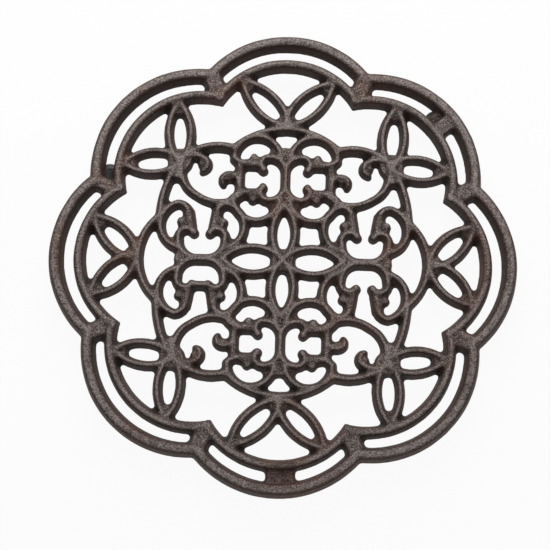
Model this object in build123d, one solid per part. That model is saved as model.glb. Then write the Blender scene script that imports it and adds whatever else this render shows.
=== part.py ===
from build123d import *
import os
from math import asin, cos, hypot, pi, radians, sin, sqrt

# Cast iron table trivet: an eight-lobed double rim, a pair of pierced leaves in every lobe and a
# medallion of scrollwork, cast in one piece with three legs that wear rubber caps.
# Millimetres, +Z up, origin on the table under the middle of the casting.

# Heights
leg_height = 8.5  # table to the underside of the plate
rim_thickness = 7.7
scroll_thickness = 6.7  # leaves and medallion lie a little lower than the rim
pad_thickness = 5.8  # pads that bridge the rim slot lie lower than the rim

# Rim: two scalloped bands
lobe_count = 8
outer_lobe_offset = 54.6  # lobe centre from the middle of the trivet
outer_lobe_radius = 43.8  # to the middle of the outer band
outer_band_width = 5.6
inner_lobe_offset = 52.2
inner_lobe_radius = 36.0
inner_band_width = 4.4
link_width = 8.2  # bar that joins the two bands at a notch

# Leaves: headings are degrees from the lobe's own axis
leaf_bar_width = 3.8
leaf_bow = 4.9  # middle of a leaf side from the leaf's own axis
leaf_run_in = 1.5  # leaf sides start this far behind the root
leaf_embed = 1.6  # a leaf tip reaches this far into the inner band
leaf_tip_radius = 2.0
leaf_tip_setback = 4.6  # centre of the solid tip from the end of the leaf
top_leaf_root = 60.8  # where a pair starts, from the middle of the trivet
top_leaf_lean = 46.0
side_leaf_root = 64.2
side_leaf_lean = 43.8
corner_leaf_root = (46.2, 43.3)
corner_leaf_leans = (41.9, -50.2)
corner_knot_radius = 5.2

# Medallion frame
bar_width = 3.6
top_dome_inset = 2.1  # crown of a dome inside the leaf root above it
top_dome_span = 23.2
top_dome_drop = 9.0
side_dome_inset = 1.5
side_dome_span = 18.4
side_dome_drop = 8.8
corner_bow = 3.3
flank_bow = 1.9

# Four-petal flower
top_petal_reach = 24.2
top_petal_bow = 5.0
side_petal_reach = 25.9
side_petal_bow = 5.8
flower_hub_radius = 5.5
petal_knot_radius = 3.1
petal_knot_lead = 1.4  # knot centre beyond the end of a petal

# Scroll groups: paired rings round a C scroll, above, below and beside the flower
ring_radius = 10.1
hook_radius = 2.0
throat_width = 5.2
column_offset = 19.9  # post beside the top group
column_width = 4.6
column_half = 6.6
knob_sides = 6  # small knobs are six-sided, not round
top_group = {
    "offset": 36.2,  # middle of the group from the middle of the trivet
    "ring_out": 12.4,  # ring centres from the axis of the group
    "ring_spread": 8.7,  # ring centres either side of the middle of the group
    "ring_end": (18.6, 6.4),  # the open end of a ring turns inwards to here
    "throat": (11.2, 6.5),  # bar from the end of a ring to the hook
    "back": 0.0,  # back of the C scroll from the axis of the group
    "half": 9.6,  # C scroll either side of the middle of the group
    "corner": 6.9,
    "hook_bend": (10.4, 7.9),  # the ends of the C scroll hook inwards through here
    "hook_tip": (9.7, 3.9),
    "bud": (13.9, 9.4),
    "bud_radius": 2.1,
    "fill": (4.3, 12.0),  # solid end of the opening between a ring and the C scroll
    "fill_radius": 3.2,
}
side_group = {
    "offset": 35.4,
    "ring_out": 14.5,
    "ring_spread": 8.1,
    "ring_end": (21.9, 6.7),
    "throat": (13.3, 5.2),
    "back": 0.4,
    "half": 10.1,
    "corner": 7.7,
    "hook_bend": (12.8, 7.8),
    "hook_tip": (11.3, 3.5),
    "bud": (16.3, 9.2),
    "bud_radius": 2.3,
    "fill": (6.8, 13.8),
    "fill_radius": 2.7,
}

# Corner scroll: a large open C whose ends curl inwards
scroll_heel = (45.0, 42.8)
scroll_flank = (44.3, 33.8)
scroll_knee = (38.5, 27.8)
scroll_belly = (28.8, 25.0)
scroll_toe = (17.6, 29.8)
lower_curl = ((18.4, 38.1), (25.8, 38.0), (27.2, 34.7))
lower_curl_fill = (22.9, 37.2)
lower_curl_fill_radius = 2.4
upper_curl = ((39.5, 43.3), (36.5, 44.6), (36.2, 39.5))
upper_curl_eye = (37.5, 42.1)
upper_curl_eye_radius = 2.0
upper_curl_root = ((32.8, 45.8), (44.0, 44.8))
spandrel_foot = (47.3, 34.1)
curl_tip_radius = 1.5

# Iron that ran between the two hooks on the front side of the left group
hook_run = ((-38.9, -11.6), (-31.9, -11.6))

# Legs: lobe axis, and swing along the rim slot about the lobe's centre, degrees
legs = {
    "front": (-90.0, 2.6),
    "right": (45.0, -1.0),
    "left": (135.0, 47.0),  # stands against a link
}
leg_radius = 3.0
leg_rise = 1.6  # a leg runs up into the slot, past the underside of the plate

# Pads across the slot that carry a leg: lobe axis, swing, and width along the slot
pads = [(-90.0, 2.6, 12.6), (45.0, -7.0, 7.5)]
pad_embed = 1.4  # a pad reaches this far into both bands

# Rubber caps
cap_height = 8.3  # just short of the plate
cap_floor = 2.2
cap_radius = 6.0
cap_clearance = 0.1

plate_z = leg_height
half_pitch = pi / lobe_count
slot_outside = outer_lobe_offset + outer_lobe_radius - outer_band_width / 2
slot_inside = inner_lobe_offset + inner_lobe_radius + inner_band_width / 2
slot_middle = (slot_outside + slot_inside) / 2
slot_width = slot_outside - slot_inside


def moved(point, distance, angle):
    """Point shifted by a distance in a direction."""
    return (point[0] + distance * cos(angle), point[1] + distance * sin(angle))


def joined(strips):
    """One flat shape out of many that overlap."""
    shape = strips[0]
    for strip in strips[1:]:
        shape += strip
    return shape


def bar(*points, width=bar_width):
    """Strip straight through two points or round through three."""
    line = ThreePointArc(*points) if len(points) == 3 else Line(*points)
    return trace(line, width)


def bowed_bar(start, end, bow, width=bar_width):
    """Strip on an arc that stands off its chord by bow, to the left of its direction."""
    run = hypot(end[0] - start[0], end[1] - start[1])
    middle = (
        (start[0] + end[0]) / 2 - bow * (end[1] - start[1]) / run,
        (start[1] + end[1]) / 2 + bow * (end[0] - start[0]) / run,
    )
    return bar(start, middle, end, width=width)


def knob(centre, radius):
    return Pos(*centre) * RegularPolygon(radius, knob_sides)


def lobe_reach(offset, radius):
    """Angle about a lobe's centre at which its arc meets the notch line."""
    return half_pitch + asin(offset * sin(half_pitch) / radius)


def notch_point(offset, radius):
    """Where two lobe arcs cross, on the notch line."""
    distance = offset * cos(half_pitch) + sqrt(radius**2 - (offset * sin(half_pitch)) ** 2)
    return moved((0, 0), distance, half_pitch)


def band_lobe(offset, radius, reach, width):
    """One lobe of a band, on the +X axis."""
    x, y = moved((offset, 0), radius, reach)
    return bar((x, -y), (offset + radius, 0), (x, y), width=width)


def rim_lobe():
    """One lobe of both bands on the +X axis, with the link at the notch after it."""
    outer_reach = lobe_reach(outer_lobe_offset, outer_lobe_radius)
    inner_reach = lobe_reach(inner_lobe_offset, inner_lobe_radius - inner_band_width / 2)
    return [
        band_lobe(outer_lobe_offset, outer_lobe_radius, outer_reach, outer_band_width),
        band_lobe(inner_lobe_offset, inner_lobe_radius, inner_reach, inner_band_width),
        bar(
            notch_point(inner_lobe_offset, inner_lobe_radius),
            notch_point(outer_lobe_offset, outer_lobe_radius),
            width=link_width,
        ),
    ]


def leaf(root, lobe_axis, lean):
    """One pierced leaf from its root to the inner band of the lobe on the given axis."""
    heading = radians(lobe_axis + lean)
    lobe_x, lobe_y = moved((0, 0), inner_lobe_offset, radians(lobe_axis))
    ahead = (lobe_x - root[0]) * cos(heading) + (lobe_y - root[1]) * sin(heading)
    aside = (lobe_x - root[0]) * sin(heading) - (lobe_y - root[1]) * cos(heading)
    tip_circle = inner_lobe_radius - inner_band_width / 2 + leaf_embed
    length = ahead + sqrt(tip_circle**2 - aside**2)
    start = moved(root, -leaf_run_in, heading)
    tip = moved(root, length, heading)
    return [
        bowed_bar(start, tip, leaf_bow, leaf_bar_width),
        bowed_bar(start, tip, -leaf_bow, leaf_bar_width),
        knob(moved(root, length - leaf_tip_setback, heading), leaf_tip_radius),
    ]


def scroll_group(group, place):
    """Half of a scroll group; place turns (out from the axis, along it) into (x, y)."""
    ring_out = group["ring_out"]
    far = ring_out + ring_radius
    back = group["back"]
    half = group["half"]
    corner = group["corner"]
    bend = corner * (1 - sqrt(0.5))
    strips = [bar(place(back, corner - half), place(back, half - corner))]
    for side in (1, -1):

        def spot(key):
            return place(group[key][0], side * group[key][1])

        ring = side * group["ring_spread"]
        heel = place(back + corner, side * half)
        strips += [
            bar(
                place(far, ring),
                place(ring_out, ring + side * ring_radius),
                place(ring_out - ring_radius, ring),
            ),
            bar(place(far, ring), spot("ring_end")),
            bar(spot("ring_end"), spot("throat"), width=throat_width),
            bar(
                place(back, side * (half - corner)),
                place(back + bend, side * (half - bend)),
                heel,
            ),
            bar(heel, spot("hook_bend")),
            bar(spot("hook_bend"), spot("hook_tip")),
            knob(spot("hook_bend"), hook_radius),
            knob(spot("hook_tip"), hook_radius),
            knob(spot("bud"), group["bud_radius"]),
            knob(spot("fill"), group["fill_radius"]),
        ]
    return strips


def corner_scroll():
    """Large C scroll of one quadrant, with the curls at its two ends."""
    return [
        bar(scroll_heel, scroll_flank, scroll_knee),
        bar(scroll_knee, scroll_belly, scroll_toe),
        bar(*lower_curl),
        knob(lower_curl_fill, lower_curl_fill_radius),
        knob(lower_curl[-1], curl_tip_radius),
        bar(*upper_curl),
        knob(upper_curl_eye, upper_curl_eye_radius),
        bar(*upper_curl_root),
        knob(upper_curl[-1], curl_tip_radius),
        bar(corner_leaf_root, spandrel_foot),
    ]


def quadrant():
    """Leaves and medallion on the +X +Y side."""
    top_crown = top_leaf_root - top_dome_inset
    side_crown = side_leaf_root - side_dome_inset
    top_end = (top_dome_span, top_crown - top_dome_drop)
    side_end = (side_crown - side_dome_drop, side_dome_span)
    top_middle = top_group["offset"]
    side_middle = side_group["offset"]
    top_knot = top_petal_reach + petal_knot_lead
    side_knot = side_petal_reach + petal_knot_lead
    strips = [
        bar((-top_end[0], top_end[1]), (0, top_crown), top_end),
        bar((side_end[0], -side_end[1]), (side_crown, 0), side_end),
        bowed_bar(top_end, corner_leaf_root, corner_bow),
        bowed_bar(corner_leaf_root, side_end, flank_bow),
        knob(corner_leaf_root, corner_knot_radius),
        bowed_bar((0, 0), (side_petal_reach, 0), side_petal_bow),
        bowed_bar((0, 0), (0, top_petal_reach), -top_petal_bow),
        knob((0, 0), flower_hub_radius),
        knob((0, top_knot), petal_knot_radius),
        knob((0, 2 * top_middle - top_knot), petal_knot_radius),
        knob((side_knot, 0), petal_knot_radius),
        knob((2 * side_middle - side_knot, 0), petal_knot_radius),
        bar(
            (column_offset, top_middle - column_half),
            (column_offset, top_middle + column_half),
            width=column_width,
        ),
    ]
    strips += scroll_group(top_group, lambda out, along: (out, top_middle + along))
    strips += scroll_group(side_group, lambda out, along: (side_middle + along, out))
    strips += corner_scroll()
    strips += leaf((0, top_leaf_root), 90, -top_leaf_lean)
    strips += leaf((side_leaf_root, 0), 0, side_leaf_lean)
    for lean in corner_leaf_leans:
        strips += leaf(corner_leaf_root, 45, lean)
    reach = outer_lobe_offset + outer_lobe_radius
    return joined(strips) & Rectangle(reach, reach, align=(Align.MIN, Align.MIN))


def slot_point(axis, swing, drift=0):
    """Point in the rim slot of the lobe on the given axis, off the middle of the slot by drift."""
    offset = (outer_lobe_offset + inner_lobe_offset) / 2
    lobe_centre = moved((0, 0), offset, radians(axis))
    return moved(lobe_centre, slot_middle - offset + drift, radians(axis + swing))


def pad(axis, swing, width):
    """Bridge across the rim slot."""
    reach = slot_width / 2 + pad_embed
    return bar(slot_point(axis, swing, -reach), slot_point(axis, swing, reach), width=width)


def rubber_cap():
    cup = extrude(Circle(cap_radius), cap_height)
    bore = extrude(Circle(leg_radius + cap_clearance), cap_height - cap_floor)
    return cup - Pos(0, 0, cap_floor) * bore


def casting():
    first = quadrant()
    right_half = [first, mirror(first, Plane.XZ)]
    scrolls = right_half + [mirror(half, Plane.YZ) for half in right_half] + [bar(*hook_run)]
    bands = []
    for turn in range(lobe_count):
        bands += [Rot(0, 0, 360 / lobe_count * turn) * strip for strip in rim_lobe()]
    iron = Pos(0, 0, plate_z) * extrude(joined(bands), rim_thickness)
    iron += Pos(0, 0, plate_z) * extrude(joined(scrolls), scroll_thickness)
    for axis, swing, width in pads:
        iron += Pos(0, 0, plate_z) * extrude(pad(axis, swing, width), pad_thickness)
    leg = Pos(0, 0, cap_floor) * extrude(Circle(leg_radius), plate_z + leg_rise - cap_floor)
    for axis, swing in legs.values():
        iron += Pos(*slot_point(axis, swing)) * leg
    return iron


os.makedirs("parts", exist_ok=True)
export_step(casting(), "parts/iron_casting.step")
for name, (axis, swing) in legs.items():
    export_step(Pos(*slot_point(axis, swing)) * rubber_cap(), f"parts/rubber_cap_{name}.step")
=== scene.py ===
from math import asin, atan2, ceil, cos, hypot, pi, radians, sin, sqrt

import bmesh
import bpy
from mathutils import Matrix, Vector


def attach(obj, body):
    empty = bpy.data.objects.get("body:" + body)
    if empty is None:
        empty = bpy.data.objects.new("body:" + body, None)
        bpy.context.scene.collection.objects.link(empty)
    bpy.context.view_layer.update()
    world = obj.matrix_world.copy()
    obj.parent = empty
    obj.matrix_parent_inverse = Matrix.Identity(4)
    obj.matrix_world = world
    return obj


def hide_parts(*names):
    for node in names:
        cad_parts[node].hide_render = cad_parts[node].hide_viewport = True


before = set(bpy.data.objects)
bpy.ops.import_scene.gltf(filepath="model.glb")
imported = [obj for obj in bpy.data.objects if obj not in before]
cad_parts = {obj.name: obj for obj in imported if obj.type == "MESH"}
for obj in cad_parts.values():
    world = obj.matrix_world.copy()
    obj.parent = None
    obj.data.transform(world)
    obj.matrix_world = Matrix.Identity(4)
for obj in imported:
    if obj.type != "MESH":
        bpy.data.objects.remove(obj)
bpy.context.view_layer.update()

mm = 0.001  # the plan below is in millimetres, meshes end up in metres


class Wire:  # an output socket; arithmetic on it adds Math nodes
    def __init__(self, socket):
        self.socket = socket
        self.tree = socket.id_data

    @staticmethod
    def put(tree, kind, settings=None, sockets=None, out=0):
        made = tree.nodes.new(kind)
        for key, value in (settings or {}).items():
            setattr(made, key, value)
        for key, value in (sockets or {}).items():
            if isinstance(value, Wire):
                tree.links.new(value.socket, made.inputs[key])
            else:
                made.inputs[key].default_value = value
        return Wire(made.outputs[out])

    def maths(self, operation, first, second):
        return Wire.put(self.tree, "ShaderNodeMath", {"operation": operation}, {0: first, 1: second})

    def __add__(self, other):
        return self.maths("ADD", self, other)

    def __radd__(self, other):
        return self.maths("ADD", other, self)

    def __sub__(self, other):
        return self.maths("SUBTRACT", self, other)

    def __rsub__(self, other):
        return self.maths("SUBTRACT", other, self)

    def __mul__(self, other):
        return self.maths("MULTIPLY", self, other)

    def __rmul__(self, other):
        return self.maths("MULTIPLY", other, self)

    def __truediv__(self, other):
        return self.maths("DIVIDE", self, other)

    def __rtruediv__(self, other):
        return self.maths("DIVIDE", other, self)


def noiseAt(place, scale, detail, roughness, out=0):
    sizes = {"Vector": place, "Scale": scale, "Detail": detail, "Roughness": roughness}
    return Wire.put(place.tree, "ShaderNodeTexNoise", {}, sizes, out)


def ramp(value, low, high):  # 0 at low, 1 at high, soft between
    ends = {"Value": value, "From Min": low, "From Max": high}
    return Wire.put(value.tree, "ShaderNodeMapRange", {"interpolation_type": "SMOOTHSTEP"}, ends)


def blendColour(share, first, second):
    return Wire.put(share.tree, "ShaderNodeMix", {"data_type": "RGBA"}, {0: share, 6: first, 7: second}, 2)


def axisOf(vector, axis):
    return Wire.put(vector.tree, "ShaderNodeSeparateXYZ", {}, {0: vector}, axis)


def vectorMaths(operation, first, second, out=0):
    pair = {0: first, 1: second}
    return Wire.put(first.tree, "ShaderNodeVectorMath", {"operation": operation}, pair, out)


def scaled(vector, amount):
    pair = {0: vector, "Scale": amount}
    return Wire.put(vector.tree, "ShaderNodeVectorMath", {"operation": "SCALE"}, pair)


def bumpFrom(height, strength, distance):
    sizes = {"Strength": strength, "Distance": distance, "Height": height}
    return Wire.put(height.tree, "ShaderNodeBump", {}, sizes)


def newFinish(name):
    finish = bpy.data.materials.new(name)
    finish.use_nodes = True
    return finish, finish.node_tree, finish.node_tree.nodes["Principled BSDF"]


def feed(shader, **sockets):
    for label, wire in sockets.items():
        shader.id_data.links.new(wire.socket, shader.inputs[label.replace("_", " ")])


# Finishes

ironLook = {
    "top": (0.110, 0.084, 0.075, 1),
    # painted shade: walls take a darker copy of the iron colour than the up-facing tops
    "shadedWall": (0.060, 0.035, 0.028, 1),
    # painted shade and dirt: darkening in the hollows where bars meet
    "valleyShadeAndDirt": (0.016, 0.010, 0.008, 1),
    # painted highlight: a light grey laid along the upward-facing crests of the bars
    "crestHighlight": (0.290, 0.252, 0.237, 1),
    "rust": (0.120, 0.050, 0.030, 1),
    "speck": (0.400, 0.355, 0.338, 1),
    "pit": (0.020, 0.014, 0.012, 1),
    # painted shade: a darker colour on up-facing surfaces that lie low between the ridges
    "sunkShade": (0.046, 0.032, 0.027, 1),
    "legTop": (0.030, 0.029, 0.028, 1),
    "gritNoise": (1500, 3.0, 0.65),  # scale, detail, roughness
    "mottleNoise": (120, 4.0, 0.6),
    "rustNoise": (38, 3.0, 0.55),
    # each range says where a mask is 0 and where it is 1, each share how much of it shows;
    # levels are such ranges of height in metres
    "flatRange": (0.55, 0.98),
    "crestRange": (0.90, 1.0), "crestHollow": (0.02, -0.20), "crestHighlightShare": 0.60,
    "sunkLevels": (0.0150, 0.0140), "sunkShare": 0.65,
    "valleyRange": (0.03, 0.35), "valleyShare": 0.85,
    "rustRange": (0.50, 0.72), "rustShare": 0.45,
    "speckRange": (0.52, 0.66), "speckShare": 0.65, "speckLoss": 0.35,  # fewer specks where sunk
    "pitRange": (0.49, 0.36), "pitShare": 0.80,
    "mottleRange": (0.47, 0.32), "mottleShare": 0.45,
    "legLevels": (0.0120, 0.0112), "legUpward": (0.30, 0.60),
    "mottleHeight": 1.5, "bump": (0.55, 0.0004),  # strength, distance
    "roughness": (0.78, 0.25),  # on pits, and how much less on specks
    "metallic": 0.25, "specular": 0.18,
}


def makeIronFinish(look):
    finish, tree, shader = newFinish("sandCastIron")
    place = Wire.put(tree, "ShaderNodeTexCoord", out="Object")
    facing = Wire.put(tree, "ShaderNodeTexCoord", out="Normal")
    upward = axisOf(facing, "Z")
    level = axisOf(place, "Z")
    hollow = Wire.put(tree, "ShaderNodeAttribute", {"attribute_name": "hollow"}, out="Fac")
    grit = noiseAt(place, *look["gritNoise"])
    mottle = noiseAt(place, *look["mottleNoise"])
    rustCloud = noiseAt(place, *look["rustNoise"])

    # how far a surface faces up; it picks between the lit top colour and the painted-shade wall colour
    flat = ramp(upward, *look["flatRange"])
    # low-lying places, where painted shade darkens the tops; fewer specks there too
    sunkShade = ramp(level, *look["sunkLevels"])
    # painted highlight on crests: faces straight up and is not hollow
    crestHighlight = ramp(upward, *look["crestRange"]) * ramp(hollow, *look["crestHollow"])
    speck = ramp(grit, *look["speckRange"]) * flat * (look["speckShare"] - sunkShade * look["speckLoss"])
    legTop = ramp(level, *look["legLevels"]) * ramp(upward, *look["legUpward"])
    coats = (  # each laid over the ones before it
        (crestHighlight * look["crestHighlightShare"], "crestHighlight"),
        (sunkShade * flat * look["sunkShare"], "sunkShade"),
        # painted shade and dirt in hollows, by the hollow attribute
        (ramp(hollow, *look["valleyRange"]) * look["valleyShare"], "valleyShadeAndDirt"),
        (ramp(rustCloud, *look["rustRange"]) * look["rustShare"], "rust"),
        (speck, "speck"),
        (ramp(grit, *look["pitRange"]) * look["pitShare"], "pit"),
        (ramp(mottle, *look["mottleRange"]) * look["mottleShare"], "pit"),
        (legTop, "legTop"),
    )
    # painted shade: walls darker than the up-facing tops
    colour = blendColour(flat, look["shadedWall"], look["top"])
    for mask, coat in coats:
        colour = blendColour(mask, colour, look[coat])

    bump = bumpFrom(grit + mottle * look["mottleHeight"], *look["bump"])
    rough, polish = look["roughness"]
    shader.inputs["Specular IOR Level"].default_value = look["specular"]
    feed(shader, Base_Color=colour, Normal=bump,
         Roughness=rough - grit * polish, Metallic=flat * look["metallic"])
    return finish


rubberLook = {
    "body": (0.046, 0.044, 0.042, 1),
    "dust": (0.085, 0.081, 0.077, 1),
    "dustNoise": (260, 4.0, 0.6),  # scale, detail, roughness
    "grainNoise": (2600, 2.0, 0.5),
    "dustRange": (0.45, 0.75), "dustShare": 0.6,
    "bump": (0.25, 0.0001),  # strength, distance
    "roughness": (0.42, 0.25),  # clean, and how much more under dust
}


def makeRubberFinish(look):
    finish, tree, shader = newFinish("softRubber")
    place = Wire.put(tree, "ShaderNodeTexCoord", out="Object")
    dust = noiseAt(place, *look["dustNoise"])
    grain = noiseAt(place, *look["grainNoise"])
    colour = blendColour(ramp(dust, *look["dustRange"]) * look["dustShare"], look["body"], look["dust"])
    clean, dulling = look["roughness"]
    feed(shader, Base_Color=colour, Roughness=clean + dust * dulling, Normal=bumpFrom(grain, *look["bump"]))
    return finish


ironFinish = makeIronFinish(ironLook)
rubberFinish = makeRubberFinish(rubberLook)
print("finishes made")


# Geometry Nodes trees

def startTree(name, sizes):
    tree = bpy.data.node_groups.new(name, "GeometryNodeTree")
    for label in ("Geometry", *sizes):
        kind = "NodeSocketGeometry" if label == "Geometry" else "NodeSocketFloat"
        tree.interface.new_socket(label, in_out="INPUT", socket_type=kind)
    tree.interface.new_socket("Geometry", in_out="OUTPUT", socket_type="NodeSocketGeometry")
    entry = tree.nodes.new("NodeGroupInput")
    return tree, {socket.name: Wire(socket) for socket in entry.outputs if socket.name}


def endTree(tree, shape, finish):
    whole = Wire.put(tree, "GeometryNodeRealizeInstances", {}, {"Geometry": shape})
    dressed = Wire.put(tree, "GeometryNodeSetMaterial", {}, {"Geometry": whole, "Material": finish})
    tree.links.new(dressed.socket, tree.nodes.new("NodeGroupOutput").inputs[0])
    return tree


def guideValue(tree, label):  # a number that each point of the guide carries
    return Wire.put(tree, "GeometryNodeInputNamedAttribute", {"data_type": "FLOAT"}, {"Name": label})


barShape = {"edgeSteps": 5, "footRadius": 0.2}


def makeBarTree():  # sweeps a drafted, round-edged bar along every line of the guide
    tree, size = startTree("castBar", ["Base Width", "Crest Width", "Height", "Edge Radius"])
    curve = Wire.put(tree, "GeometryNodeMeshToCurve", {}, {"Mesh": size["Geometry"]})
    level = Wire.put(tree, "GeometryNodeSetCurveNormal", {"mode": "Z_UP"}, {"Curve": curve})
    section = Wire.put(tree, "GeometryNodeCurvePrimitiveQuadrilateral", {"mode": "TRAPEZOID"}, {
        "Bottom Width": size["Crest Width"], "Top Width": size["Base Width"],  # the sweep turns it over
        "Offset": 0.0, "Height": size["Height"]})
    across = axisOf(Wire.put(tree, "GeometryNodeInputPosition"), "Y")
    onCrest = across.maths("LESS_THAN", across, 0.0)
    eased = Wire.put(tree, "GeometryNodeFilletCurve", {"mode": "POLY"}, {
        "Curve": section, "Count": barShape["edgeSteps"], "Limit Radius": True,
        "Radius": onCrest * size["Edge Radius"] + barShape["footRadius"]})
    swept = Wire.put(tree, "GeometryNodeCurveToMesh", {}, {
        "Curve": level, "Profile Curve": eased, "Scale": guideValue(tree, "girth"), "Fill Caps": True})
    return endTree(tree, swept, ironFinish)


knobShape = {"sides": 28, "leastTop": 0.36}  # the top's radius over the base's, at least


def makeKnobTree():  # sets a drafted round on every point, sized by the point's own radius and height
    tree, size = startTree("castKnob", ["Draft"])
    disc = Wire.put(tree, "GeometryNodeMeshCircle", {"fill_type": "NGON"}, {
        "Vertices": knobShape["sides"], "Radius": 1.0})
    radius = guideValue(tree, "knobRadius")
    height = guideValue(tree, "knobHeight")
    placed = Wire.put(tree, "GeometryNodeInstanceOnPoints", {}, {
        "Points": size["Geometry"], "Instance": disc,
        "Scale": Wire.put(tree, "ShaderNodeCombineXYZ", {}, {"X": radius, "Y": radius, "Z": 1.0})})
    bottoms = Wire.put(tree, "GeometryNodeRealizeInstances", {}, {"Geometry": placed})
    raised = Wire.put(tree, "GeometryNodeExtrudeMesh", {"mode": "FACES"}, {
        "Mesh": bottoms, "Offset": (0.0, 0.0, 1.0), "Offset Scale": height, "Individual": True})
    top = Wire(raised.socket.node.outputs["Top"])
    share = radius.maths("MAXIMUM", 1.0 - size["Draft"] / radius, knobShape["leastTop"])
    drafted = Wire.put(tree, "GeometryNodeScaleElements", {"domain": "FACE"}, {
        "Geometry": raised, "Selection": top, "Scale": share})
    closed = Wire.put(tree, "GeometryNodeJoinGeometry", {}, {0: drafted})
    tree.links.new(bottoms.socket, closed.socket.node.inputs[0])
    return endTree(tree, closed, ironFinish)


skinShape = {
    "slowNoise": (0.045, 1.0, 0.5), "quickNoise": (0.30, 2.0, 0.5),  # scale, detail, roughness
    "middle": (0.5, 0.5, 0.5), "sway": (2.0, 2.0, 0.6),  # of the slow noise, along X, Y and Z
    "blurSteps": 10,
}


def makeSkinTree():  # the hand-cast unevenness, and how hollow each spot is
    tree, size = startTree("sandSkin", ["Wobble", "Lumps", "Leg Top", "Plate Level"])
    place = Wire.put(tree, "GeometryNodeInputPosition")
    facing = Wire.put(tree, "GeometryNodeInputNormal")
    slow = noiseAt(place, *skinShape["slowNoise"], out="Color")
    quick = noiseAt(place, *skinShape["quickNoise"])
    centred = vectorMaths("SUBTRACT", slow, skinShape["middle"])
    sideways = vectorMaths("MULTIPLY", centred, skinShape["sway"])
    free = Wire.put(tree, "ShaderNodeMapRange", {}, {  # the legs stay true, because the caps fit them
        "Value": axisOf(place, "Z"), "From Min": size["Leg Top"], "From Max": size["Plate Level"]})
    drift = scaled(sideways, size["Wobble"] * free)
    swell = scaled(facing, (quick - 0.5) * 2.0 * size["Lumps"] * free)
    shift = vectorMaths("ADD", drift, swell)
    uneven = Wire.put(tree, "GeometryNodeSetPosition", {}, {"Geometry": size["Geometry"], "Offset": shift})
    blurred = Wire.put(tree, "GeometryNodeBlurAttribute", {"data_type": "FLOAT_VECTOR"}, {
        "Value": place, "Iterations": skinShape["blurSteps"]})
    inward = vectorMaths("SUBTRACT", blurred, place)
    hollow = vectorMaths("DOT_PRODUCT", inward, facing, "Value")
    marked = Wire.put(tree, "GeometryNodeStoreNamedAttribute", {"data_type": "FLOAT", "domain": "POINT"}, {
        "Geometry": uneven, "Name": "hollow", "Value": hollow})
    return endTree(tree, marked, ironFinish)


def plainMesh(holder):
    bpy.context.view_layer.update()
    seen = holder.evaluated_get(bpy.context.evaluated_depsgraph_get())
    return bpy.data.meshes.new_from_object(seen)


def linked(name, mesh):
    holder = bpy.data.objects.new(name, mesh)
    bpy.context.scene.collection.objects.link(holder)
    return holder


def grown(name, guide, tree, values):  # the plain mesh that a tree makes from a guide
    holder = linked(name, guide)
    modifier = holder.modifiers.new(name, "NODES")
    modifier.node_group = tree
    for item in tree.interface.items_tree:
        if item.in_out == "INPUT" and item.name in values:
            modifier[item.identifier] = values[item.name]
    mesh = plainMesh(holder)
    bpy.data.objects.remove(holder)
    return mesh


barTree = makeBarTree()
knobTree = makeKnobTree()
skinTree = makeSkinTree()
print("node trees made")


# Plan of the casting in millimetres, on the +X +Y quarter where it repeats

lineStep = 1.0  # spacing of guide points along an arc


def shifted(point, distance, angle):
    return (point[0] + distance * cos(angle), point[1] + distance * sin(angle))


def arcThrough(start, middle, end):
    (ax, ay), (bx, by), (cx, cy) = start, middle, end
    twist = 2 * (ax * (by - cy) + bx * (cy - ay) + cx * (ay - by))
    a2, b2, c2 = ax**2 + ay**2, bx**2 + by**2, cx**2 + cy**2
    x = (a2 * (by - cy) + b2 * (cy - ay) + c2 * (ay - by)) / twist
    y = (a2 * (cx - bx) + b2 * (ax - cx) + c2 * (bx - ax)) / twist
    radius = hypot(ax - x, ay - y)
    first = atan2(ay - y, ax - x)
    last = atan2(cy - y, cx - x)
    sweep = (last - first) % (2 * pi) if twist > 0 else -((first - last) % (2 * pi))
    count = max(3, ceil(abs(sweep) * radius / lineStep))
    return [shifted((x, y), radius, first + sweep * step / count) for step in range(count + 1)]


def bowed(start, end, bow):
    run = hypot(end[0] - start[0], end[1] - start[1])
    middle = ((start[0] + end[0]) / 2 - bow * (end[1] - start[1]) / run,
              (start[1] + end[1]) / 2 + bow * (end[0] - start[0]) / run)
    return arcThrough(start, middle, end)


def tapered(line, root, tip):  # girth goes from root at the start to tip at the end
    last = len(line) - 1
    return [(x, y, root + (tip - root) * (step / last) ** 2) for step, (x, y) in enumerate(line)]


def fourWays(lines):
    return [[(sx * x, sy * y, *rest) for x, y, *rest in line]
            for line in lines for sx in (1, -1) for sy in (1, -1)]


sections = {  # base width, crest width, underside, top, edge radius
    "outerBand": (7.1, 4.0, 8.5, 16.3, 1.5),
    "innerBand": (5.9, 3.0, 8.5, 16.2, 1.2),
    "link": (9.7, 6.8, 8.5, 15.8, 1.6),
    "cutLink": (7.6, 5.4, 8.5, 15.8, 1.4),
    "leafBar": (4.95, 1.9, 8.6, 15.5, 0.9),
    "scrollBar": (4.95, 1.8, 8.6, 15.5, 0.9),
    "throat": (6.0, 3.0, 8.6, 14.9, 1.4),
    "column": (4.9, 2.6, 8.6, 14.9, 1.2),
    "frontPad": (13.0, 11.8, 8.6, 14.1, 0.9),
    "rightPad": (8.0, 6.6, 8.6, 15.4, 1.0),
    "rightShelf": (8.6, 6.2, 8.6, 12.8, 1.2),  # low end of the right pad, over its leg
}
lines = {kind: [] for kind in sections}
rounds = []  # scroll ends: lines of one point, each x, y, radius, top
webs = []  # low knots and fillings, given in the same way

rim = {
    "lobes": 8,
    "outerOffset": 54.6, "outerRadius": 43.8,  # centre of a lobe's arc from the middle, its radius
    "innerOffset": 52.2, "innerRadius": 36.0,
    "innerWidth": 5.6,
    "cutLobe": 3, "cutShift": 1.3,  # the link beside the left leg is cut back
}
halfPitch = pi / rim["lobes"]


def lobeReach(offset, radius):
    return halfPitch + asin(offset * sin(halfPitch) / radius)


def notchPoint(offset, radius):
    return offset * cos(halfPitch) + sqrt(radius**2 - (offset * sin(halfPitch)) ** 2)


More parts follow.
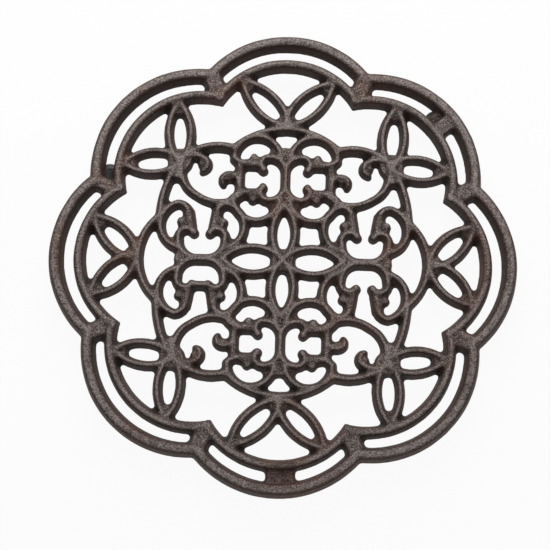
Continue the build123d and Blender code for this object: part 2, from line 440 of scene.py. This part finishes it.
def drawRim():
    outer, inner = (rim["outerOffset"], rim["outerRadius"]), (rim["innerOffset"], rim["innerRadius"])
    reaches = (lobeReach(*outer), lobeReach(inner[0], inner[1] - rim["innerWidth"] / 2))
    for lobe in range(rim["lobes"]):
        axis = 2 * halfPitch * lobe
        for kind, (offset, radius), reach in zip(("outerBand", "innerBand"), (outer, inner), reaches):
            centre = shifted((0, 0), offset, axis)
            ends = [shifted(centre, radius, axis + turn) for turn in (-reach, 0, reach)]
            lines[kind].append(arcThrough(*ends))
        notch = axis + halfPitch
        link = [shifted((0, 0), notchPoint(*band), notch) for band in (inner, outer)]
        if lobe == rim["cutLobe"]:
            lines["cutLink"].append([shifted(end, rim["cutShift"], notch + pi / 2) for end in link])
        else:
            lines["link"].append(link)


leaves = {
    "bow": 4.9, "runIn": 1.5, "embed": 1.0,
    "tipRadius": 2.2, "tipSetback": 4.2, "rootRadius": 1.9, "rootLead": 3.7, "fillTop": 14.3,
    "topRoot": 60.8, "topLean": 46.0, "topCrotch": (0, 63.0, 2.7, 14.6),  # x, y, radius, top
    "sideRoot": 64.2, "sideLean": 43.8,
    "cornerRoot": (46.2, 43.3), "cornerLeans": (41.9, -50.2), "cornerKnot": (5.9, 14.6),  # radius, top
}


def drawLeaf(root, axis, lean):
    heading = radians(axis + lean)
    lobeX, lobeY = shifted((0, 0), rim["innerOffset"], radians(axis))
    ahead = (lobeX - root[0]) * cos(heading) + (lobeY - root[1]) * sin(heading)
    aside = (lobeX - root[0]) * sin(heading) - (lobeY - root[1]) * cos(heading)
    tipCircle = rim["innerRadius"] - rim["innerWidth"] / 2 + leaves["embed"]
    length = ahead + sqrt(tipCircle**2 - aside**2)
    start, tip = shifted(root, -leaves["runIn"], heading), shifted(root, length, heading)
    lines["leafBar"] += fourWays([bowed(start, tip, leaves["bow"]), bowed(start, tip, -leaves["bow"])])
    for lead, radius in ((length - leaves["tipSetback"], leaves["tipRadius"]),
                         (leaves["rootLead"], leaves["rootRadius"])):
        webs.extend(fourWays([[(*shifted(root, lead, heading), radius, leaves["fillTop"])]]))


def drawLeaves():
    drawLeaf((0, leaves["topRoot"]), 90, -leaves["topLean"])
    drawLeaf((leaves["sideRoot"], 0), 0, leaves["sideLean"])
    for lean in leaves["cornerLeans"]:
        drawLeaf(leaves["cornerRoot"], 45, lean)
    webs.extend(fourWays([[(*leaves["cornerRoot"], *leaves["cornerKnot"])], [leaves["topCrotch"]]]))


medallion = {
    "topCrown": 58.65, "topSpan": 23.2, "topDrop": 9.0,
    "sideCrown": 62.7, "sideSpan": 18.4, "sideDrop": 8.8,
    "cornerBow": 3.3, "cornerGirths": (1.12, 1.0), "flankBow": 1.9, "flankGirths": (1.0, 1.05),
    "topPetal": (24.2, 5.0), "sidePetal": (25.9, 5.8),  # reach, bow
    "hub": (5.8, 14.4), "knot": (3.9, 14.7), "hook": (2.4, 15.0),  # radius, top
    "knotLead": 1.2, "ringRadius": 10.1, "budTop": 14.6, "fillTop": 13.8,
    "columnOffset": 19.9, "columnHalf": 6.1,
}
topGroup = {  # pairs are distances out from the axis, and along it from the group's middle
    "offset": 36.2, "ringOut": 12.4, "ringSpread": 8.7,
    "ringStops": (0, 3),  # degrees by which a ring stops short at its turn and its foot
    "ringTurn": (19.6, 6.9), "ringEnd": (17.9, 6.5), "throat": (11.2, 6.5),
    "back": 0.0, "half": 9.6, "corner": 6.9,
    "hookBend": (10.4, 7.9), "hookTip": (9.7, 3.9),
    "bud": (13.9, 9.4), "budRadius": 2.3,
    "fill": (4.3, 12.0), "fillRadius": 3.2,
}
sideGroup = {
    "offset": 35.4, "ringOut": 14.5, "ringSpread": 8.1,
    "ringStops": (14, 11),
    "ringTurn": (23.4, 8.1), "ringEnd": (21.6, 6.4), "throat": (13.3, 5.0),
    "back": 0.4, "half": 10.1, "corner": 7.7,
    "hookBend": (12.8, 7.8), "hookTip": (11.3, 3.5),
    "bud": (16.3, 9.2), "budRadius": 2.3,
    "fill": (6.8, 13.8), "fillRadius": 2.7,
}
cornerScroll = {  # a stroke is an arc through three points
    "outerSweep": ((45.0, 42.8), (44.2, 34.0), (38.3, 28.1)),
    "lowerSweep": ((38.3, 28.1), (28.8, 25.1), (17.6, 29.8)),
    "lowerNeck": ((20.3, 33.5), (21.6, 36.9), (24.7, 37.7)),
    "lowerCurl": ((24.7, 37.7), (27.4, 35.8), (27.0, 33.2)),
    "lowerFill": (24.4, 36.2, 2.3, 14.5),  # x, y, radius, top
    "upperNeck": ((44.5, 44.6), (38.4, 45.5), (34.7, 43.7)),
    "upperCurl": ((34.7, 43.7), (34.1, 41.1), (36.2, 38.9)),
    "upperEye": (36.8, 42.0, 1.9, 14.5),
    "spandrelFoot": (47.1, 36.0),
    "flash": ((-38.9, -11.6), (-31.9, -11.6)),  # iron that ran between two hooks of the left group
    # girth at the start and end of each stroke
    "girths": {"outerSweep": (1.0, 0.92), "lowerSweep": (0.94, 1.0), "lowerNeck": (0.9, 1.0),
               "lowerCurl": (1.0, 0.68), "upperNeck": (1.0, 1.0), "upperCurl": (1.0, 0.75)},
}


def drawGroup(group, place):
    ringOut, back, half, corner = (group[key] for key in ("ringOut", "back", "half", "corner"))
    radius = medallion["ringRadius"]
    lead, stop = (radians(angle) for angle in group["ringStops"])
    bend = corner * (1 - sqrt(0.5))  # to the middle of a quarter round
    bars = [[place(back, corner - half), place(back, half - corner)]]
    throats, ends, fillings = [], [], []
    for side in (1, -1):
        spot = {key: place(group[key][0], side * group[key][1])
                for key in ("ringTurn", "ringEnd", "throat", "hookBend", "hookTip", "bud", "fill")}
        ring = side * group["ringSpread"]
        heel = place(back + corner, side * half)
        turn = place(ringOut + radius * cos(lead), ring + side * radius * sin(lead))
        foot = place(ringOut - radius * cos(stop), ring + side * radius * sin(stop))
        bars.append(arcThrough(turn, place(ringOut, ring + side * radius), foot))
        bars.append(arcThrough(turn, spot["ringTurn"], spot["ringEnd"]))
        shoulder = place(back + bend, side * (half - bend))
        bars.append(arcThrough(place(back, side * (half - corner)), shoulder, heel))
        bars.append(arcThrough(heel, spot["hookBend"], spot["hookTip"]))
        throats.append([spot["ringEnd"], spot["throat"]])
        ends.append((*spot["hookTip"], *medallion["hook"]))
        ends.append((*spot["bud"], group["budRadius"], medallion["budTop"]))
        fillings.append((*spot["fill"], group["fillRadius"], medallion["fillTop"]))
    lines["scrollBar"] += fourWays(bars)
    lines["throat"] += fourWays(throats)
    rounds.extend(fourWays([[end] for end in ends]))
    webs.extend(fourWays([[filling] for filling in fillings]))


def drawMedallion():
    topEnd = (medallion["topSpan"], medallion["topCrown"] - medallion["topDrop"])
    sideEnd = (medallion["sideCrown"] - medallion["sideDrop"], medallion["sideSpan"])
    cornerRoot = leaves["cornerRoot"]
    topReach, topBow = medallion["topPetal"]
    sideReach, sideBow = medallion["sidePetal"]
    topMiddle, sideMiddle = topGroup["offset"], sideGroup["offset"]
    bars = [
        arcThrough((-topEnd[0], topEnd[1]), (0, medallion["topCrown"]), topEnd),
        arcThrough((sideEnd[0], -sideEnd[1]), (medallion["sideCrown"], 0), sideEnd),
        tapered(bowed(topEnd, cornerRoot, medallion["cornerBow"]), *medallion["cornerGirths"]),
        tapered(bowed(cornerRoot, sideEnd, medallion["flankBow"]), *medallion["flankGirths"]),
        bowed((0, 0), (sideReach, 0), sideBow),
        bowed((0, 0), (0, topReach), -topBow),
    ]
    topKnot, sideKnot = topReach + medallion["knotLead"], sideReach + medallion["knotLead"]
    for spot in ((0, topKnot), (0, 2 * topMiddle - topKnot),
                 (sideKnot, 0), (2 * sideMiddle - sideKnot, 0)):
        webs.extend(fourWays([[(*spot, *medallion["knot"])]]))
    webs.append([(0, 0, *medallion["hub"])])
    column, half = medallion["columnOffset"], medallion["columnHalf"]
    lines["column"] += fourWays([[(column, topMiddle - half), (column, topMiddle + half)]])
    drawGroup(topGroup, lambda out, along: (out, topMiddle + along))
    drawGroup(sideGroup, lambda out, along: (sideMiddle + along, out))
    for key, girths in cornerScroll["girths"].items():
        bars.append(tapered(arcThrough(*cornerScroll[key]), *girths))
    bars.append([cornerRoot, cornerScroll["spandrelFoot"]])
    lines["scrollBar"] += fourWays(bars)
    lines["scrollBar"].append(list(cornerScroll["flash"]))
    for key in ("lowerFill", "upperEye"):
        webs.extend(fourWays([[cornerScroll[key]]]))


legs = {
    # degrees: the axis of a lobe, and the swing from it about the lobe's centre
    "spots": {"front": (-90.0, 2.6), "right": (45.0, -1.0), "left": (135.0, 47.0)},
    "pads": {"frontPad": (-90.0, 2.6), "rightPad": (45.0, -7.0), "rightShelf": (45.0, -1.2)},
    "slotOffset": 53.4, "slotRadius": 39.6, "padReach": 4.0,
    "radius": 2.95, "low": 2.3, "top": 10.1,
    "crown": (2.5, 10.8),  # radius and top of the dome on each leg
}


def slotPoint(axis, swing, drift=0.0):
    centre = shifted((0, 0), legs["slotOffset"], radians(axis))
    return shifted(centre, legs["slotRadius"] + drift, radians(axis + swing))


def drawPads():
    reach = legs["padReach"]
    for kind, (axis, swing) in legs["pads"].items():
        lines[kind].append([slotPoint(axis, swing, drift) for drift in (-reach, reach)])


drawRim()
drawLeaves()
drawMedallion()
drawPads()
print("plan drawn:", {kind: len(found) for kind, found in lines.items()}, len(rounds), len(webs))


# Casting: bars and knobs grown by the trees, welded into one skin

casting = {
    "underside": 8.6,
    "draft": 0.9, "endDraft": 1.55, "legDraft": 0.2,  # top radius short of base radius
    "endDrop": 0.1,  # rounds at bar ends lie this far below the bars
    "grain": 0.45, "fillet": 0.5, "easeFactor": 0.5, "easing": 5, "triangles": 185000,
    "wobble": 0.22, "lumps": 0.10, "trueBelow": 7.0, "unevenAbove": 9.5,
}


def guideLines(found, level):
    spots, edges, girths = [], [], []
    for line in found:
        first = len(spots)
        spots += [(x, y, level) for x, y, *girth in line]
        girths += [girth[0] if girth else 1.0 for x, y, *girth in line]
        edges += [(index, index + 1) for index in range(first, len(spots) - 1)]
    mesh = bpy.data.meshes.new("guideLines")
    mesh.from_pydata(spots, edges, [])
    mesh.attributes.new("girth", "FLOAT", "POINT").data.foreach_set("value", girths)
    return mesh


def guidePoints(found, low):  # found: x, y, radius, top
    mesh = bpy.data.meshes.new("guidePoints")
    mesh.from_pydata([(x, y, low) for x, y, *_ in found], [], [])
    for label, values in (("knobRadius", [spot[2] for spot in found]),
                          ("knobHeight", [spot[3] - low for spot in found])):
        mesh.attributes.new(label, "FLOAT", "POINT").data.foreach_set("value", values)
    return mesh


def castingParts():
    made = []
    for kind, (baseWidth, crestWidth, low, high, edge) in sections.items():
        guide = guideLines(lines[kind], (low + high) / 2)
        made.append(grown(kind, guide, barTree, {
            "Base Width": baseWidth, "Crest Width": crestWidth,
            "Height": high - low, "Edge Radius": edge}))
    barEnds = []  # rounds off where bars meet at an angle
    for kind in ("leafBar", "scrollBar"):
        baseWidth, _, low, high, _ = sections[kind]
        for x, y, *girth in [spot for line in lines[kind] for spot in (line[0], line[-1])]:
            share = girth[0] if girth else 1.0
            top = (high + low) / 2 + (high - low) / 2 * share - casting["endDrop"]
            barEnds.append((x, y, baseWidth / 2 * share, top))
    ends = [spot for line in rounds for spot in line]
    fillings = [spot for line in webs for spot in line]
    posts = [(*slotPoint(*spot), legs["radius"], legs["top"]) for spot in legs["spots"].values()]
    crowns = [(*slotPoint(*spot), *legs["crown"]) for spot in legs["spots"].values()]
    for name, found, low, draft in (("barEnds", barEnds, casting["underside"], casting["endDraft"]),
                                    ("scrollEnds", ends, casting["underside"], casting["draft"]),
                                    ("fillings", fillings, casting["underside"], casting["draft"]),
                                    ("posts", posts, legs["low"], casting["legDraft"]),
                                    ("crowns", crowns, casting["underside"], casting["draft"])):
        made.append(grown(name, guidePoints(found, low), knobTree, {"Draft": draft}))
    return made


def welded(meshes, name):
    whole = bmesh.new()
    for mesh in meshes:
        whole.from_mesh(mesh)
        bpy.data.meshes.remove(mesh)
    mesh = bpy.data.meshes.new(name)
    whole.to_mesh(mesh)
    whole.free()
    return mesh


def makeCasting():
    holder = linked("castingSkin", welded(castingParts(), "castingSkin"))
    for swelling in (casting["fillet"], -casting["fillet"]):  # out and back again fills sharp corners
        melt = holder.modifiers.new("melt", "REMESH")
        melt.mode = "VOXEL"
        melt.voxel_size = casting["grain"]
        swell = holder.modifiers.new("swell", "DISPLACE")
        swell.mid_level = 0.0
        swell.strength = swelling
    ease = holder.modifiers.new("ease", "SMOOTH")
    ease.factor = casting["easeFactor"]
    ease.iterations = casting["easing"]
    melted = plainMesh(holder)
    bpy.data.objects.remove(holder)
    count = sum(len(face.vertices) - 2 for face in melted.polygons)
    print("casting welded:", count, "triangles")
    holder = linked("thinned", melted)
    thin = holder.modifiers.new("thin", "DECIMATE")
    thin.ratio = min(1.0, casting["triangles"] / count)
    thinned = plainMesh(holder)
    bpy.data.objects.remove(holder)
    mesh = grown("sandSkin", thinned, skinTree, {
        "Wobble": casting["wobble"], "Lumps": casting["lumps"],
        "Leg Top": casting["trueBelow"], "Plate Level": casting["unevenAbove"]})
    mesh.transform(Matrix.Scale(mm, 4))
    mesh.name = "ironCasting"
    mesh.polygons.foreach_set("use_smooth", [True] * len(mesh.polygons))
    piece = linked("ironCasting", mesh)
    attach(piece, "root")
    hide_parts("iron_casting")
    print("casting finished:", len(mesh.polygons), "faces")


makeCasting()


# Rubber caps

cap = {
    "height": 8.3, "floor": 2.2, "radius": 6.0, "footRadius": 5.7,
    "bore": 3.1, "shoulder": 2.2, "toe": 0.9, "lip": 0.35,  # radii of the bore and of the rounded edges
    "segments": 64, "steps": 6,
}


def quarterRound(centre, radius, first, last):  # of a profile, from angle to angle in degrees
    return [shifted(centre, radius, radians(first + (last - first) * step / cap["steps"]))
            for step in range(cap["steps"] + 1)]


def capProfile():
    top, floor, bore = cap["height"], cap["floor"], cap["bore"]
    lip, shoulder, toe = cap["lip"], cap["shoulder"], cap["toe"]
    profile = [(0, floor)]
    profile += quarterRound((bore - lip, floor + lip), lip, -90, 0)
    profile += quarterRound((bore + lip, top - lip), lip, 180, 90)
    profile += quarterRound((cap["radius"] - shoulder, top - shoulder), shoulder, 90, 0)
    profile += quarterRound((cap["footRadius"] - toe, toe), toe, 0, -90)
    return profile + [(0, 0)]


def makeCap(name, centre):
    profile = capProfile()
    spots, rings, faces = [], [], []
    for radius, level in profile:
        turns = cap["segments"] if radius > 0 else 1
        rings.append(range(len(spots), len(spots) + turns))
        angles = [2 * pi * turn / cap["segments"] for turn in range(turns)]
        spots += [(*shifted(centre, radius, angle), level) for angle in angles]
    for inner, outer in zip(rings, rings[1:]):
        for turn in range(cap["segments"]):
            quad = [ring[index % len(ring)] for ring, index in
                    ((inner, turn), (inner, turn + 1), (outer, turn + 1), (outer, turn))]
            faces.append(list(dict.fromkeys(quad)))
    mesh = bpy.data.meshes.new(name)
    mesh.from_pydata([tuple(mm * value for value in spot) for spot in spots], [], faces)
    shell = bmesh.new()
    shell.from_mesh(mesh)
    bmesh.ops.recalc_face_normals(shell, faces=shell.faces)
    shell.to_mesh(mesh)
    shell.free()
    mesh.polygons.foreach_set("use_smooth", [True] * len(mesh.polygons))
    mesh.materials.append(rubberFinish)
    return linked(name, mesh)


for side, spot in legs["spots"].items():
    piece = makeCap("rubberCap" + side.capitalize(), slotPoint(*spot))
    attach(piece, "root")
    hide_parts("rubber_cap_" + side)
print("caps made")


# Floor, light and camera

studio = {
    "white": (1, 1, 1, 1), "ambient": 0.24,
    "floorSize": 6.0, "floorTint": (0.9, 0.9, 0.9, 1), "floorRoughness": 0.9, "floorGlow": 0.94,
    "lampWatts": 3.4, "lampSize": 0.5, "lampSpot": (-0.02, 0.44, 0.38),
    "fillWatts": 0.25, "fillSize": 1.2, "fillSpot": (0.7, -0.8, 0.9),
}


def seenDirectly(tree):  # camera, mirror and see-through rays
    path = [Wire.put(tree, "ShaderNodeLightPath", out=label)
            for label in ("Is Camera Ray", "Is Glossy Ray", "Is Transmission Ray")]
    return path[0] + path[1] + path[2]


def makeFloor():
    half = studio["floorSize"] / 2
    mesh = bpy.data.meshes.new("studioFloor")
    corners = [(-half, -half, 0), (half, -half, 0), (half, half, 0), (-half, half, 0)]
    mesh.from_pydata(corners, [], [(0, 1, 2, 3)])
    finish, tree, shader = newFinish("whiteFloor")
    shader.inputs["Base Color"].default_value = studio["floorTint"]
    shader.inputs["Roughness"].default_value = studio["floorRoughness"]
    shader.inputs["Specular IOR Level"].default_value = 0.0
    glow = Wire.put(tree, "ShaderNodeEmission", {}, {"Color": studio["white"], "Strength": 1.0})
    mixed = Wire.put(tree, "ShaderNodeMixShader", {}, {
        0: seenDirectly(tree) * studio["floorGlow"], 1: Wire(shader.outputs[0]), 2: glow})
    tree.links.new(mixed.socket, tree.nodes["Material Output"].inputs["Surface"])
    mesh.materials.append(finish)
    linked("studioFloor", mesh)


def makeWorld():
    world = bpy.data.worlds.new("whiteStudio")
    bpy.context.scene.world = world
    world.use_nodes = True
    tree = world.node_tree
    soft, white = (
        Wire.put(tree, "ShaderNodeBackground", {}, {"Color": studio["white"], "Strength": strength})
        for strength in (studio["ambient"], 1.0))
    mixed = Wire.put(tree, "ShaderNodeMixShader", {}, {0: seenDirectly(tree), 1: soft, 2: white})
    tree.links.new(mixed.socket, tree.nodes["World Output"].inputs["Surface"])


def makeLamp(name, watts, size, spot):
    lamp = bpy.data.lights.new(name, "AREA")
    lamp.energy = watts
    lamp.size = size
    holder = linked(name, lamp)
    holder.location = spot
    holder.rotation_euler = (-Vector(spot)).to_track_quat("-Z", "Y").to_euler()


view = {
    "tilt": 10.985, "turn": 1.793,  # degrees from straight down, and about Z
    "distance": 0.699, "level": 0.0162, "nearest": 0.01,
    "lens": 106.38, "sensor": 36,
    "shift": (-0.01411, -0.02847),
}


def makeCamera():
    tilt, turn = radians(view["tilt"]), radians(view["turn"])
    right = Vector((cos(turn), sin(turn), 0))
    forward = Vector((-sin(tilt) * sin(turn), sin(tilt) * cos(turn), -cos(tilt)))
    up = right.cross(forward)
    spot = Vector((0, 0, view["level"])) - forward * view["distance"]
    lens = bpy.data.cameras.new("photoView")
    lens.lens = view["lens"]
    lens.sensor_width = view["sensor"]
    lens.shift_x, lens.shift_y = view["shift"]
    lens.clip_start = view["nearest"]
    holder = linked("photoView", lens)
    holder.matrix_world = Matrix((
        (right.x, up.x, -forward.x, spot.x),
        (right.y, up.y, -forward.y, spot.y),
        (right.z, up.z, -forward.z, spot.z),
        (0, 0, 0, 1),
    ))
    bpy.context.scene.camera = holder


makeFloor()
makeWorld()
makeLamp("keyLamp", studio["lampWatts"], studio["lampSize"], studio["lampSpot"])
makeLamp("fillLamp", studio["fillWatts"], studio["fillSize"], studio["fillSpot"])
makeCamera()
bpy.context.scene.view_settings.view_transform = "Standard"
print("studio set")
